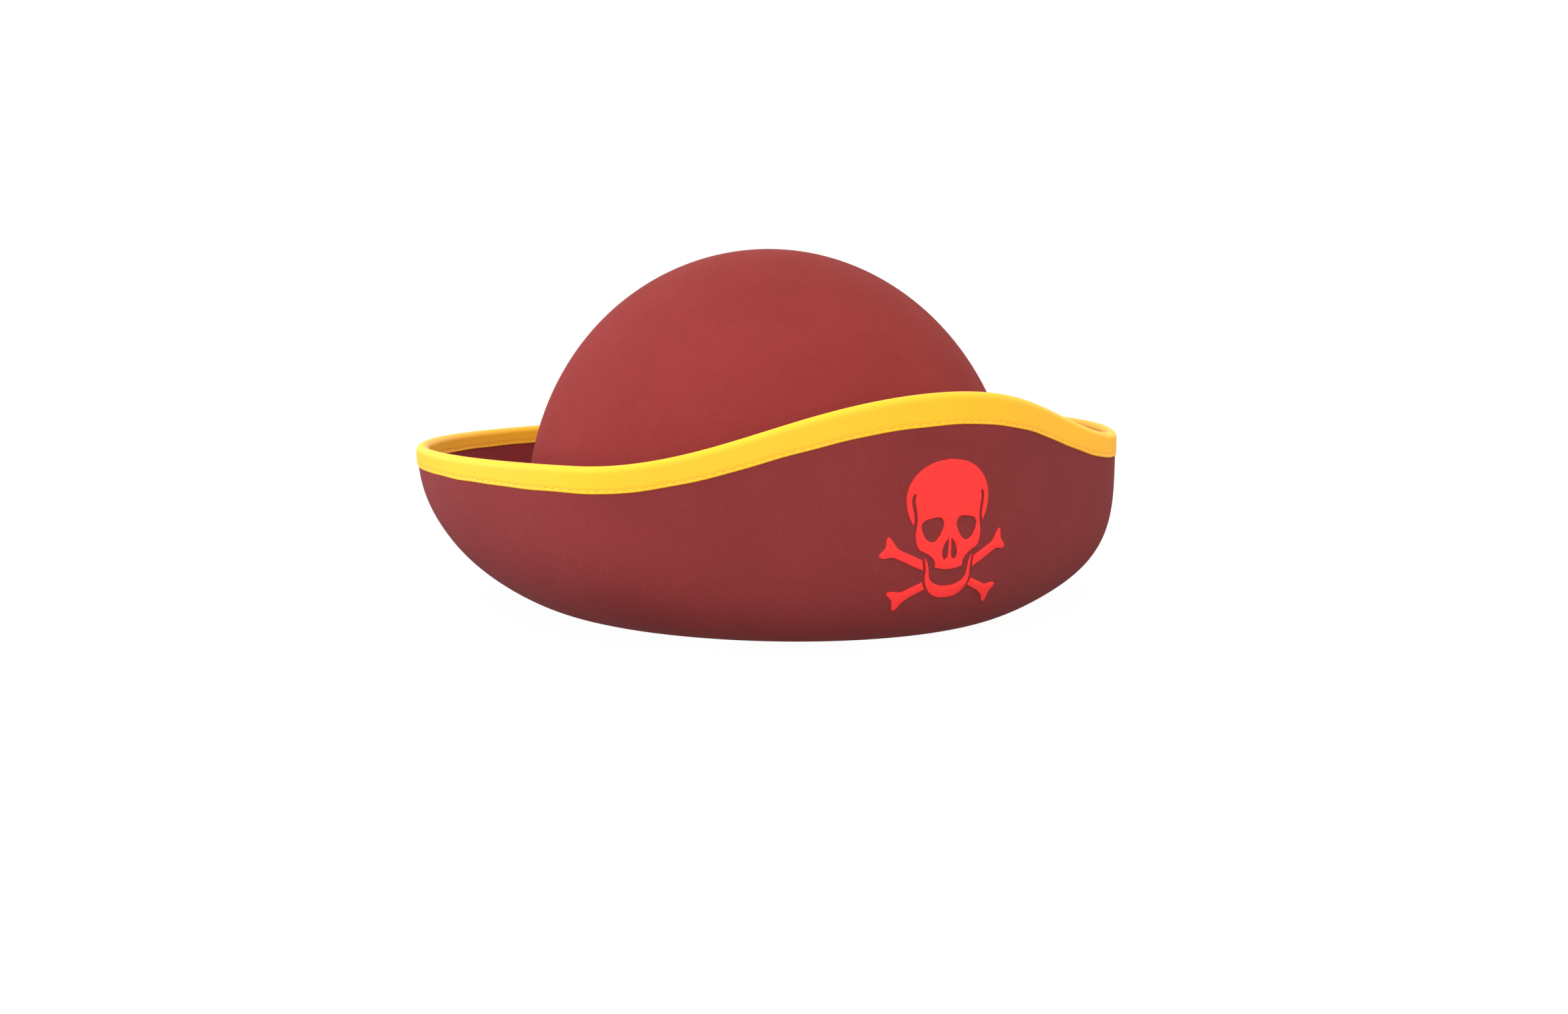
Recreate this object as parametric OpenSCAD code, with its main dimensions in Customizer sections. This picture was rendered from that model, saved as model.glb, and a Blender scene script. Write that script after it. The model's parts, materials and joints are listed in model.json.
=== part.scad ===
// Felt costume pirate hat: a round domed crown in an upturned brim that peaks at the front.
// Millimetres. The front of the hat faces -Y, its sides are +X and -X, and +Z is up.
// The origin is the middle of the head opening, in the plane that the hat rests on.

/* [Crown] */
// Length of the crown at its foot, front to back, outside
crown_length = 210; // [190:1:230]
// Width of the crown at its foot, side to side, outside
crown_width = 184; // [166:1:200]
// Height of the whole crown
crown_height = 133; // [115:1:160]
// Height at which the upright wall turns into the dome
shoulder_height = 31; // [20:1:50]
// Thickness of the crown's felt
crown_felt = 3; // [2:0.5:4]

/* [Brim] */
// Length of the rim, front to back
rim_length = 263; // [250:1:300]
// Width of the rim, side to side
rim_width = 272; // [250:1:300]
// Height of the rim at the back
rim_back = 54.5; // [40:0.5:70]
// How much higher the rim is at the front quarters than at the back
rim_rise = 9.5; // [0:0.5:20]
// Height that the front peak adds above the front quarters
rim_peak = 24.5; // [0:0.5:40]
// Angle from the front at which the peak has run out
peak_spread = 57; // [30:1:80]
// How far the rim is pressed in between the peak and the sides
rim_tuck = 6.5; // [0:0.5:8]
// Angle from the front at which that pressing in has run out
tuck_spread = 60; // [45:1:80]
// Fullness of the brim's curve at the front: higher is more bowl-like
fullness_front = 8; // [3:0.1:9]
// Fullness of the brim's curve at the back
fullness_back = 2.1; // [1.5:0.1:4]
// Roundness of the turn at the foot of the brim, at the front
foot_round = 1.3; // [1:0.02:1.5]
// Thickness of the outer felt
outer_felt = 1.4; // [1:0.1:2]
// Thickness of the buckram stiffener between the felts
stiffener = 1.2; // [1.2:0.1:2]
// Thickness of the inner felt
inner_felt = 1.2; // [0.8:0.1:2]
// Height of the brim's collar, which is sewn inside the crown
collar_height = 14; // [8:1:20]

/* [Binding and wire] */
// Height of the gold binding outside, at the front
binding_front = 11; // [6:0.5:20]
// Height of the gold binding outside, at the back
binding_back = 7.5; // [5:0.5:15]
// Height of the gold binding on the inside of the brim
binding_inside = 7; // [5:0.5:15]
// Thickness of the binding ribbon
binding_thick = 0.4; // [0.3:0.1:0.8]
// Diameter of the brim wire
wire_d = 0.9; // [0.6:0.1:1]
// Length of the sleeve that joins the two ends of the wire
joiner_length = 10; // [6:1:11]

/* [Lining and sweatband] */
// Thickness of the satin lining
lining_thick = 0.5; // [0.4:0.1:0.8]
// Angle up the dome at which the lining's four panels meet its tip
lining_seam = 48; // [35:1:65]
// Height of the sweatband
sweatband_height = 36; // [25:1:45]
// Thickness of the sweatband
sweatband_thick = 1; // [0.8:0.1:1.5]

/* [Emblem] */
// Thickness of the emblem's felt
emblem_thick = 0.5; // [0.4:0.1:1.5]

/* [Hidden] */
$fn = 96;

squeeze = crown_width / crown_length;     // the crown is a turned shape, squeezed sideways
brim_felt = outer_felt + stiffener + inner_felt;
binding_r = brim_felt / 2;                // the felts' edge is half round under the binding
band_inset = crown_felt + outer_felt;     // the sweatband lies on the collar
band_foot = 0.6;                          // keeps the sweatband off a table top
lining_foot = collar_height + 1;
around = 72;                              // facets round the brim
rows = 10;                                // facets up the brim
arc_steps = 16;                           // facets up the dome

// ---- Shapes as functions of phi, the angle from the front, positive towards +X ----

function place(phi, rz) = [rz[0] * sin(phi), -rz[0] * cos(phi), rz[1]];
function oval(phi, half_length, half_width) =
    half_length * half_width / norm([half_width * cos(phi), half_length * sin(phi)]);
function crown_r(phi, inset) =
    oval(phi, crown_length / 2 - inset, (crown_length / 2 - inset) * squeeze);
// 1 at the front, 0 at the back
function front_share(phi) = pow(cos(phi / 2), 6);
function from_back(back, front, phi) = back + (front - back) * front_share(phi);
function peak(phi) = abs(phi) < peak_spread ? (1 + cos(180 * phi / peak_spread)) / 2 : 0;
function rim_z(phi) = rim_back + rim_rise * (1 - pow(sin(phi / 2), 4)) + rim_peak * peak(phi);
function tuck(phi) = abs(phi) < tuck_spread ? rim_tuck * pow(sin(180 * phi / tuck_spread), 2) : 0;
function rim_r(phi) = oval(phi, rim_length / 2, rim_width / 2) - tuck(phi);

// Radius of the brim at height z, depth mm in from the outer felt's outer face
function brim_r(phi, depth, z) =
    let (foot = crown_r(phi, 0),
         rim = rim_r(phi) - depth,
         down = (rim_z(phi) - max(z, depth)) / (rim_z(phi) - depth),
         full = from_back(fullness_back, fullness_front, phi),
         turn = from_back(1, foot_round, phi))
    foot + (rim - foot) * pow(max(0, 1 - pow(max(0, down), full)), 1 / turn);
function brim_point(phi, depth, z) = [brim_r(phi, depth, z), z];
// Points up one face of the brim, closer together at its curved foot
function brim_face(phi, depth, top) =
    [for (j = [0 : rows]) let (z = depth + (top - depth) * (1 - cos(90 * j / rows)))
        brim_point(phi, depth, z)];

function felt_top(phi) = rim_z(phi) - binding_thick - binding_r;  // where the half-round edge starts
function edge_drop(depth) = sqrt(max(0, pow(binding_r, 2) - pow(depth - binding_r, 2)));
function reversed(list) = [for (i = [len(list) - 1 : -1 : 0]) list[i]];

// ---- Solids made from sections ----

// A closed ring through a list of sections, each a loop of points at one facet corner
module ring(sections) {
    n = len(sections);
    m = len(sections[0]);
    polyhedron(
        points = [for (i = [0 : n - 1]) each sections[i]],
        faces = [for (i = [0 : n - 1], j = [0 : m - 1])
            let (a = i * m + j, b = i * m + (j + 1) % m,
                 c = ((i + 1) % n) * m + (j + 1) % m, d = ((i + 1) % n) * m + j)
            each [[a, b, c], [a, c, d]]]);
}

// A curved sheet between a front grid and a back grid of points, closed at its four edges
module sheet(front, back) {
    n = len(front);
    m = len(front[0]);
    half = n * m;
    rim = concat([for (j = [0 : m - 1]) j], [for (i = [1 : n - 1]) i * m + m - 1],
                 [for (j = [m - 2 : -1 : 0]) (n - 1) * m + j], [for (i = [n - 2 : -1 : 1]) i * m]);
    polyhedron(
        points = concat([for (column = front) each column], [for (column = back) each column]),
        faces = concat(
            [for (i = [0 : n - 2], j = [0 : m - 2]) let (a = i * m + j)
                each [[a, a + 1, a + m + 1], [a, a + m + 1, a + m]]],
            [for (i = [0 : n - 2], j = [0 : m - 2]) let (a = half + i * m + j)
                each [[a, a + m + 1, a + 1], [a, a + m, a + m + 1]]],
            [for (k = [0 : len(rim) - 1]) let (a = rim[k], b = rim[(k + 1) % len(rim)])
                each [[a, b + half, b], [a, a + half, b + half]]]));
}

corner_angles = [for (i = [0 : around - 1]) (i + 0.5) * 360 / around - 180];
// Loops of [radius, height] points, one for each corner angle, put in their places
function at_corners(loops) = [for (i = [0 : around - 1])
    [for (rz = loops[i]) place(corner_angles[i], rz)]];

// One layer of the brim, from depth near to depth far
function layer_loop(phi, near, far, near_top, far_top) =
    concat(brim_face(phi, near, near_top), reversed(brim_face(phi, far, far_top)));

// Section of a turned shell inside the crown's outline, from angle low to angle high up its dome
function dome_arc(inset, low, high) = [for (i = [0 : arc_steps])
    let (a = low + (high - low) * i / arc_steps)
    [(crown_length / 2 - inset) * cos(a),
     shoulder_height + (crown_height - shoulder_height - inset) * sin(a)]];

// A quarter turn of a section, centred on the angle facing (0 is +X), squeezed to the oval of a head
module quarter(section, facing)
    scale([squeeze, 1, 1]) rotate([0, 0, facing - 45]) rotate_extrude(angle = 90) polygon(section);
module turned(section) for (facing = [0 : 90 : 270]) quarter(section, facing);

// ---- Crown and what is inside it ----

module crown() color("#a03c3a") turned(concat(
    [[crown_length / 2, outer_felt]],
    dome_arc(0, 0, 90),
    reversed(dome_arc(crown_felt, 0, 90)),
    [[crown_length / 2 - crown_felt, outer_felt]]));

// One of the lining's four side panels, which are sewn to each other and to the tip
module lining_panel(facing) color("#7a2226") quarter(concat(
    [[crown_length / 2 - crown_felt, lining_foot]],
    dome_arc(crown_felt, 0, lining_seam),
    reversed(dome_arc(crown_felt + lining_thick, 0, lining_seam)),
    [[crown_length / 2 - crown_felt - lining_thick, lining_foot]]), facing);

module lining_right() lining_panel(0);
module lining_back() lining_panel(90);
module lining_left() lining_panel(180);
module lining_front() lining_panel(270);

module lining_tip() color("#7a2226") turned(concat(
    dome_arc(crown_felt, lining_seam, 90),
    reversed(dome_arc(crown_felt + lining_thick, lining_seam, 90))));

module sweatband() color("#3a1c1a")
    translate([0, 0, band_foot])
    turned([for (corner = [[0, 0], [1, 0], [1, 1], [0, 1]])
        [crown_length / 2 - band_inset - sweatband_thick * (1 - corner[0]), sweatband_height * corner[1]]]);

// ---- Brim ----

// The outer felt turns in under the crown's foot and up inside it, as the collar
function outer_felt_loop(phi) = concat(
    [[crown_r(phi, band_inset), 0]],
    brim_face(phi, 0, felt_top(phi)),
    reversed(brim_face(phi, outer_felt, felt_top(phi) + edge_drop(outer_felt))),
    [[crown_r(phi, crown_felt), outer_felt],
     [crown_r(phi, crown_felt), collar_height],
     [crown_r(phi, band_inset), collar_height]]);

module brim_outer_felt() color("#8c373a")
    ring(at_corners([for (phi = corner_angles) outer_felt_loop(phi)]));

module brim_stiffener() color("#d8cfb8")
    ring(at_corners([for (phi = corner_angles)
        layer_loop(phi, outer_felt, outer_felt + stiffener,
                   felt_top(phi) - wire_d / 2, felt_top(phi) - wire_d / 2)]));

module brim_inner_felt() color("#70262a")
    ring(at_corners([for (phi = corner_angles)
        layer_loop(phi, outer_felt + stiffener, brim_felt,
                   felt_top(phi) + edge_drop(outer_felt + stiffener), felt_top(phi))]));

function wire_centre(phi) =
    brim_point(phi, outer_felt + stiffener / 2, felt_top(phi) + wire_d / 2 + 0.1);

module brim_wire() color("#b8b8bc")
    ring(at_corners([for (phi = corner_angles) [for (k = [0 : 7])
        wire_centre(phi) + wire_d / 2 * [cos(-45 * k), sin(-45 * k)]]]));

module wire_joiner() color("#c8a24a")
    translate([-joiner_length / 2, wire_centre(180)[0] * cos(180 / around), wire_centre(180)[1]])
    rotate([90, 0, 90])
    linear_extrude(joiner_length)
    difference() {
        square([stiffener, 2 * wire_d], center = true);
        circle(d = wire_d);
    }

// Section of the binding: up the outside, over the half-round edge and down the inside
function binding_face(phi, proud) = concat(
    [for (z = [0 : 2]) brim_point(phi, -proud,
        rim_z(phi) - from_back(binding_back, binding_front, phi) * (1 - z / 3)
        - (binding_thick + binding_r) * z / 3)],
    [for (a = [0 : 30 : 180]) brim_point(phi, binding_r - (binding_r + proud) * cos(a), felt_top(phi))
        + [0, (binding_r + proud) * sin(a)]],
    [for (z = [1 : 2]) brim_point(phi, brim_felt + proud,
        felt_top(phi) - (binding_inside - binding_thick - binding_r) * z / 2)]);

module edge_binding() color("#ffd23f")
    ring(at_corners([for (phi = corner_angles)
        concat(binding_face(phi, binding_thick), reversed(binding_face(phi, 0)))]));

// ---- Emblem: felt shapes cut flat and stuck to the front of the brim ----

// A smooth curve through points, ends included
function curve(p, steps = 4) = concat(
    [for (i = [0 : len(p) - 2], k = [0 : steps - 1])
        let (a = p[max(i - 1, 0)], b = p[i], c = p[i + 1], d = p[min(i + 2, len(p) - 1)], t = k / steps)
        b + t * (c - a) / 2 + t * t * (a - 2.5 * b + 2 * c - d / 2)
          + t * t * t * (1.5 * (b - c) + (d - a) / 2)],
    [p[len(p) - 1]]);
function mirrored(p) = reversed([for (q = p) [-q[0], q[1]]]);

// Right half of each outline: [distance from the centre line, height], from the top down
cranium_half = concat(
    curve([[0, 66], [6.2, 65], [11.2, 62.4], [14.3, 59], [16, 55], [16.2, 51.5], [15.6, 48], [14, 44]]),
    curve([[13.5, 45.2], [13.6, 47.4], [14.3, 50.8], [14.3, 53.2], [13.5, 54.8]]),
    curve([[12.8, 54.2], [13.1, 52], [12.6, 49.3], [12.3, 46.4], [12.5, 43.4], [12.9, 40.4],
           [12.5, 37.4], [11.4, 35.3], [8.9, 34], [6.9, 32.6], [5.6, 30.8], [5.4, 28.9]]),
    curve([[5.4, 28.9], [2.6, 28.2], [0, 28]]));
eye = curve([[11.1, 43.6], [9.8, 45.3], [6.5, 46.1], [3.8, 46.1], [2.5, 44.2], [3.1, 41.6],
             [4.8, 38.9], [6.8, 37.8], [9, 38.8], [10.5, 41.2], [11.1, 43.6]]);
nostril = concat(
    curve([[0.5, 39], [2.1, 37], [3, 34.4], [2.7, 32.2], [1.9, 31.4]]),
    curve([[1.9, 31.4], [0.7, 32.6], [0.5, 35.6], [0.5, 39]]));
jaw_half = concat(
    curve([[0, 22.1], [2.8, 22.4], [5.6, 23.5], [7.3, 25.3], [7.9, 28.4], [8.5, 31], [9.4, 32.7]]),
    curve([[9.4, 32.7], [9.1, 30], [8.8, 27.6], [8.9, 25.2], [8.2, 22.4], [6.3, 19.8], [3.4, 18.2],
           [0, 17.8]]));
upper_bone = concat(
    [[10.4, 31.9], [9.9, 28.1]],
    curve([[14.8, 30.4], [19.6, 32.8], [21.6, 33.2], [24, 32.9], [25.2, 34], [23.2, 36.6],
           [22.9, 38.8], [22.3, 40.3], [20.8, 38.8], [19.2, 36.4], [17.2, 35.1]]));
lower_bone = concat(
    [[9.9, 24], [8.8, 21.4]],
    curve([[13.6, 19], [16.2, 16.9], [17.3, 14.8], [18.4, 14.1], [19.1, 15.8], [19.7, 17.8],
           [21.4, 19.7], [21.7, 20.8], [19.6, 21.2], [17, 20.9], [14, 22.2]]));

emblem_angles = [for (phi = [-17.5 : 2.5 : 17.5]) phi];
emblem_heights = [for (z = [12 : 4.5 : 70]) z];

module on_brim_front() color("#ff4444") intersection() {
    sheet([for (phi = emblem_angles) [for (z = emblem_heights)
              place(phi, brim_point(phi, -emblem_thick, z))]],
          [for (phi = emblem_angles) [for (z = emblem_heights)
              place(phi, brim_point(phi, 0, z))]]);
    rotate([90, 0, 0]) linear_extrude(rim_length) children();
}

module skull() on_brim_front() difference() {
    polygon(concat(cranium_half, mirrored(cranium_half)));
    for (side = [0, 1]) mirror([side, 0]) {
        polygon(eye);
        polygon(nostril);
    }
}

module jaw() on_brim_front() polygon(concat(jaw_half, mirrored(jaw_half)));

module bone(outline, side) on_brim_front() scale([side, 1]) polygon(outline);

module bone_upper_left() bone(upper_bone, -1);
module bone_upper_right() bone(upper_bone, 1);
module bone_lower_left() bone(lower_bone, -1);
module bone_lower_right() bone(lower_bone, 1);

crown();
lining_front();
lining_back();
lining_left();
lining_right();
lining_tip();
brim_outer_felt();
brim_stiffener();
brim_inner_felt();
brim_wire();
wire_joiner();
edge_binding();
sweatband();
skull();
jaw();
bone_upper_left();
bone_upper_right();
bone_lower_left();
bone_lower_right();
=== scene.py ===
import json
import math

import bmesh
import bpy
import numpy as np
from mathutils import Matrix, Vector
from mathutils.geometry import delaunay_2d_cdt

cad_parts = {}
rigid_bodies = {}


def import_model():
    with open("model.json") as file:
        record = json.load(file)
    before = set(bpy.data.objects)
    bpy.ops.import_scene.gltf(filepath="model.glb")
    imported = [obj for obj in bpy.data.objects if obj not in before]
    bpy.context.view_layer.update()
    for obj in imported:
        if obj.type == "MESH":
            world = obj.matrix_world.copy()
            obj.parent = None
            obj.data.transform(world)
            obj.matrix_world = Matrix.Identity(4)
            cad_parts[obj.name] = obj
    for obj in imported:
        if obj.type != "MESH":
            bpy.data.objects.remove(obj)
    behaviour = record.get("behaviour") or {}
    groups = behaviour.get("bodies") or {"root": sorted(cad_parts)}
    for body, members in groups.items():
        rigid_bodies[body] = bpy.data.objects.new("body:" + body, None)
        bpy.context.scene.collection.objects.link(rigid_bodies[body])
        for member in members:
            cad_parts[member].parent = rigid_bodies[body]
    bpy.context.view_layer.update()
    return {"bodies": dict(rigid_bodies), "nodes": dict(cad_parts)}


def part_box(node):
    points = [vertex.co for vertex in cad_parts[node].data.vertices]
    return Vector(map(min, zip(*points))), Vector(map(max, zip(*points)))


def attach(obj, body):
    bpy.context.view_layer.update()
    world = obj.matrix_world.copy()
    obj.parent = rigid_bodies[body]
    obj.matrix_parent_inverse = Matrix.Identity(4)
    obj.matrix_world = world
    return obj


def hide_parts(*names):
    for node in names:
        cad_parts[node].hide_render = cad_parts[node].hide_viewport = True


# A felt costume pirate hat: a domed crown in a turned-up brim that peaks at the front, with a gold
# ribbon round its rim and a skull and crossbones. Its front is -Y, its sides are +X and -X, up is +Z.

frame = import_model()
scene = bpy.context.scene
BODY = next(iter(frame["bodies"]))
MM = 0.001                                 # a millimetre in the frame's metres

# ---- The hat's sizes, in millimetres unless a comment says otherwise ----

# Crown
_, crown_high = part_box("crown")
HALF_LENGTH = crown_high.y / MM            # of its foot, from the middle to the back
HALF_WIDTH = crown_high.x / MM
CROWN_TOP = crown_high.z / MM
SHOULDER = 31.0                            # height at which the upright wall turns into the dome
SQUEEZE = HALF_WIDTH / HALF_LENGTH         # the crown is a turned shape, squeezed sideways
CROWN_FELT = 3.0

# Brim: two felts with buckram between them
OUTER_FELT = 1.4
STIFFENER = 1.2
INNER_FELT = 1.2
BRIM_FELT = OUTER_FELT + STIFFENER + INNER_FELT
EDGE_R = BRIM_FELT / 2                     # the felts' edge is half round under the ribbon
COLLAR = 14.0                              # height of the collar, which is sewn inside the crown
RIM_HALF_LENGTH = 131.5
RIM_HALF_WIDTH = 136.0
RIM_BACK = 54.5                            # height of the rim at the back
RIM_RISE = 9.5                             # how much higher it is at the front quarters
RIM_PEAK = 24.5                            # what the front peak adds above them
PEAK_SPREAD = math.radians(57)             # angle from the front at which the peak has run out
RIM_TUCK = 6.5                             # how far the rim is pressed in beside the peak
TUCK_SPREAD = math.radians(60)             # angle from the front at which that has run out
FULL_FRONT = 8.0                           # fullness of the brim's curve: higher is more bowl-like
FULL_BACK = 2.1
TURN_FRONT = 1.3                           # roundness of the turn at the brim's foot, at the front

# Binding: a ribbon folded over the rim
RIBBON = 0.4
BIND_FRONT = 11.0                          # its height outside, at the front
BIND_BACK = 7.5
BIND_INSIDE = 7.0

# Sweatband and lining
BAND_INSET = CROWN_FELT + OUTER_FELT       # the sweatband lies on the collar
BAND_FOOT = 0.6
BAND_HEIGHT = 36.0
LINING = 0.5
LINING_FOOT = COLLAR + 1
LINING_SEAM = math.radians(48)             # angle up the dome at which the side panels meet the tip

EMBLEM = 0.5                               # thickness of the emblem's felt


# ---- The hat's shape: phi is the angle from the front, positive towards +X ----

def oval(phi, half_length, half_width):
    return half_length * half_width / np.hypot(half_width * np.cos(phi), half_length * np.sin(phi))


def crown_r(phi, inset):
    """Radius of the crown's foot, inset mm in from its outside."""
    return oval(phi, HALF_LENGTH - inset, (HALF_LENGTH - inset) * SQUEEZE)


def from_back(back, front, phi):
    """A value that goes from back to front as phi comes round to the front."""
    return back + (front - back) * np.cos(phi / 2) ** 6


def from_front(phi):
    """The same angle, between minus and plus half a turn."""
    return (phi + np.pi) % (2 * np.pi) - np.pi


def rim_z(phi):
    """Height of the rim, with the ribbon on it."""
    off = from_front(phi)
    peak = np.where(np.abs(off) < PEAK_SPREAD, (1 + np.cos(np.pi * off / PEAK_SPREAD)) / 2, 0)
    return RIM_BACK + RIM_RISE * (1 - np.sin(phi / 2) ** 4) + RIM_PEAK * peak


def rim_r(phi):
    """Radius of the rim, pressed in between the peak and the sides."""
    off = from_front(phi)
    tuck = np.where(np.abs(off) < TUCK_SPREAD, RIM_TUCK * np.sin(np.pi * off / TUCK_SPREAD) ** 2, 0)
    return oval(phi, RIM_HALF_LENGTH, RIM_HALF_WIDTH) - tuck


# Slow waves in the felt: size, waves round the hat, lean per mm of height, start
FELT_WAVES = ((0.16, 5, 0, 0.7), (0.1, 9, 0.05, 2.1), (0.07, 17, -0.11, 0))


def wobble(phi, z):
    """How far hand-pressed felt stands off its smooth shape: nothing at its foot and rim."""
    share = np.sin(np.pi * np.clip(z / rim_z(phi), 0, 1))
    return share * sum(size * np.sin(waves * phi + lean * z + start)
                       for size, waves, lean, start in FELT_WAVES)


def brim_r(phi, depth, z):
    """Radius of the brim at height z, depth mm in from its outer face."""
    foot = crown_r(phi, 0)
    rim = rim_r(phi) - depth
    down = (rim_z(phi) - np.maximum(z, depth)) / (rim_z(phi) - depth)
    full = from_back(FULL_BACK, FULL_FRONT, phi)
    turn = from_back(1, TURN_FRONT, phi)
    bowl = np.maximum(0, 1 - np.maximum(0, down) ** full) ** (1 / turn)
    return foot + (rim - foot) * bowl + wobble(phi, z)


def felt_top(phi):
    """Height at which the felts' half-round edge starts."""
    return rim_z(phi) - RIBBON - EDGE_R


def edge_rise(depth):
    """How far the half-round edge stands above felt_top, depth mm in."""
    return np.sqrt(np.maximum(0, EDGE_R**2 - (depth - EDGE_R) ** 2))


def smooth(t):
    """From 0 to 1 with a gentle start and end, as t goes from 0 to 1."""
    t = np.clip(t, 0, 1)
    return t * t * (3 - 2 * t)


def bell(away, width):
    """1 where away is 0, falling to nothing a few widths off."""
    return np.exp(-(away / width) ** 2)


def at(phi, r, z):
    """Points in millimetres from angle, radius and height."""
    phi, r, z = np.broadcast_arrays(phi, r, z)
    return np.stack([r * np.sin(phi), -r * np.cos(phi), z], axis=-1)


# ---- Meshes ----

def made(name, points, faces, uv=None, sharp=40):
    """A smooth-shaded object from points in millimetres, with edges sharp above an angle in degrees.

    uv holds one pair per face corner, in metres.
    """
    mesh = bpy.data.meshes.new(name)
    mesh.from_pydata((np.asarray(points) * MM).tolist(), [], faces)
    if uv is not None:
        layer = mesh.uv_layers.new(name="weave")
        layer.data.foreach_set("uv", np.asarray(uv, np.float32).ravel())
    bm = bmesh.new()
    bm.from_mesh(mesh)
    bmesh.ops.recalc_face_normals(bm, faces=bm.faces)
    bm.to_mesh(mesh)
    bm.free()
    mesh.polygons.foreach_set("use_smooth", [True] * len(mesh.polygons))
    mesh.set_sharp_from_angle(angle=math.radians(sharp))
    mesh.update()
    piece = bpy.data.objects.new(name, mesh)
    scene.collection.objects.link(piece)
    return piece


def grid_faces(n, m, ring, loop):
    """Quads over n columns of m points, closed round the ring and round each column's loop if asked.

    Each quad's column and point come with it.
    """
    i, j = np.meshgrid(np.arange(n if ring else n - 1), np.arange(m if loop else m - 1), indexing="ij")
    i, j = i.ravel(), j.ravel()
    i2, j2 = (i + 1) % n, (j + 1) % m
    return np.stack([i * m + j, i * m + j2, i2 * m + j2, i2 * m + j], axis=1), i, j


def end_caps(n, m):
    """Strips of quads that close the first and the last of n loops of m points."""
    quads = []
    for first, turn in ((0, 1), ((n - 1) * m, -1)):
        for k in range(m // 2 - 1):
            quad = [first + k, first + k + 1, first + m - 2 - k, first + m - 1 - k]
            quads.append(quad[::turn])
    return quads


def run_of(points, axis=0):
    """Distance from the start along lines of points that run along an axis."""
    steps = np.linalg.norm(np.diff(points, axis=axis), axis=-1)
    start = np.zeros_like(np.take(steps, [0], axis=axis))
    return np.concatenate([start, np.cumsum(steps, axis=axis)], axis=axis)


def lofted(name, grid, ring=True, sharp=40):
    """A surface through grid[column, point], where each column is a loop round the section.

    Its weave map is in metres: along the columns, and up the section. An open run has caps.
    """
    n, m = grid.shape[:2]
    faces, i, j = grid_faces(n, m, ring, loop=True)
    faces = faces.tolist()
    i2 = (i + 1) % n
    middle = grid.mean(axis=1)
    along = run_of(np.vstack([middle, middle[:1]]))
    up = run_of(np.concatenate([grid, grid[:, :1]], axis=1), axis=1)
    corners = ((along[i], up[i, j]), (along[i], up[i, j + 1]),
               (along[i + 1], up[i2, j + 1]), (along[i + 1], up[i2, j]))
    uv = np.stack([np.stack(corner, axis=1) for corner in corners], axis=1) * MM
    if not ring:
        caps = end_caps(n, m)
        faces += caps
        uv = np.concatenate([uv, np.zeros((len(caps), 4, 2))])
    return made(name, grid.reshape(-1, 3), faces, uv, sharp)


def domed(name, profile, around, bumps):
    """A turned shell, squeezed to the head's oval. bumps gives a factor for each of its points.

    The profile of [radius, height] starts and ends on the axis.
    """
    phi = np.arange(around) * 2 * np.pi / around
    r, z = np.array(profile)[1:-1].T
    poles = [[0, 0, profile[0][1]], [0, 0, profile[-1][1]]]
    points = np.vstack([at(phi[:, None], r[None], z[None]).reshape(-1, 3), poles])
    points = points * bumps(points)[:, None]
    points[:, 0] *= SQUEEZE
    first, last, m = len(points) - 2, len(points) - 1, len(r)
    faces = grid_faces(around, m, ring=True, loop=False)[0].tolist()
    for k in range(around):
        k2 = (k + 1) % around
        faces += [[first, k * m, k2 * m], [last, k2 * m + m - 1, k * m + m - 1]]
    return made(name, points, faces)


# ---- Sections: lists of points, each a [radius, height] for every column ----

def columns(count, extra=()):
    """Evenly spaced angles round the hat, and some extra ones."""
    return np.unique(np.round(np.concatenate([np.arange(count) * 2 * np.pi / count, extra]), 9))


def pairs(r, z):
    return np.stack(np.broadcast_arrays(r, z), axis=-1).astype(float)


def rounded(a, b, c, cut, steps=5):
    """Points round corner b, on the way from a to c, starting and ending cut mm from it."""
    to_a, to_c = a - b, c - b
    start = b + cut * to_a / np.linalg.norm(to_a, axis=-1, keepdims=True)
    end = b + cut * to_c / np.linalg.norm(to_c, axis=-1, keepdims=True)
    return [(1 - t) ** 2 * start + 2 * t * (1 - t) * b + t * t * end for t in np.linspace(0, 1, steps)]


def between(a, b, shares):
    return [a + (b - a) * t for t in shares]


def on_brim(phi, depth, z):
    return pairs(brim_r(phi, depth, z), z)


def face_up(phi, depth, top, rows):
    """Points up one face of the brim, closer together at its curved foot."""
    steps = 1 - np.cos(np.pi / 2 * np.arange(rows + 1) / rows)
    return [on_brim(phi, depth, depth + (top - depth) * s) for s in steps]


def round_edge(phi, proud, turns):
    """Points round the felts' half-round edge at the given turns, proud mm off it."""
    top, r = felt_top(phi), EDGE_R + proud
    return [pairs(brim_r(phi, EDGE_R - r * math.cos(a), top), top + r * math.sin(a)) for a in turns]


def over_edge(phi, first, last, steps):
    """Points over the felts' half-round edge, from one depth to another."""
    ends = [math.acos(max(-1, 1 - depth / EDGE_R)) for depth in (first, last)]
    return round_edge(phi, 0, np.linspace(*ends, steps))


def ring_of(name, phi, section, sharp=40):
    """A closed ring round the hat from its section."""
    section = np.stack(section, axis=1)        # [column, point, (radius, height)]
    return lofted(name, at(phi[:, None], section[..., 0], section[..., 1]), sharp=sharp)


# ---- Materials ----

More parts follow.
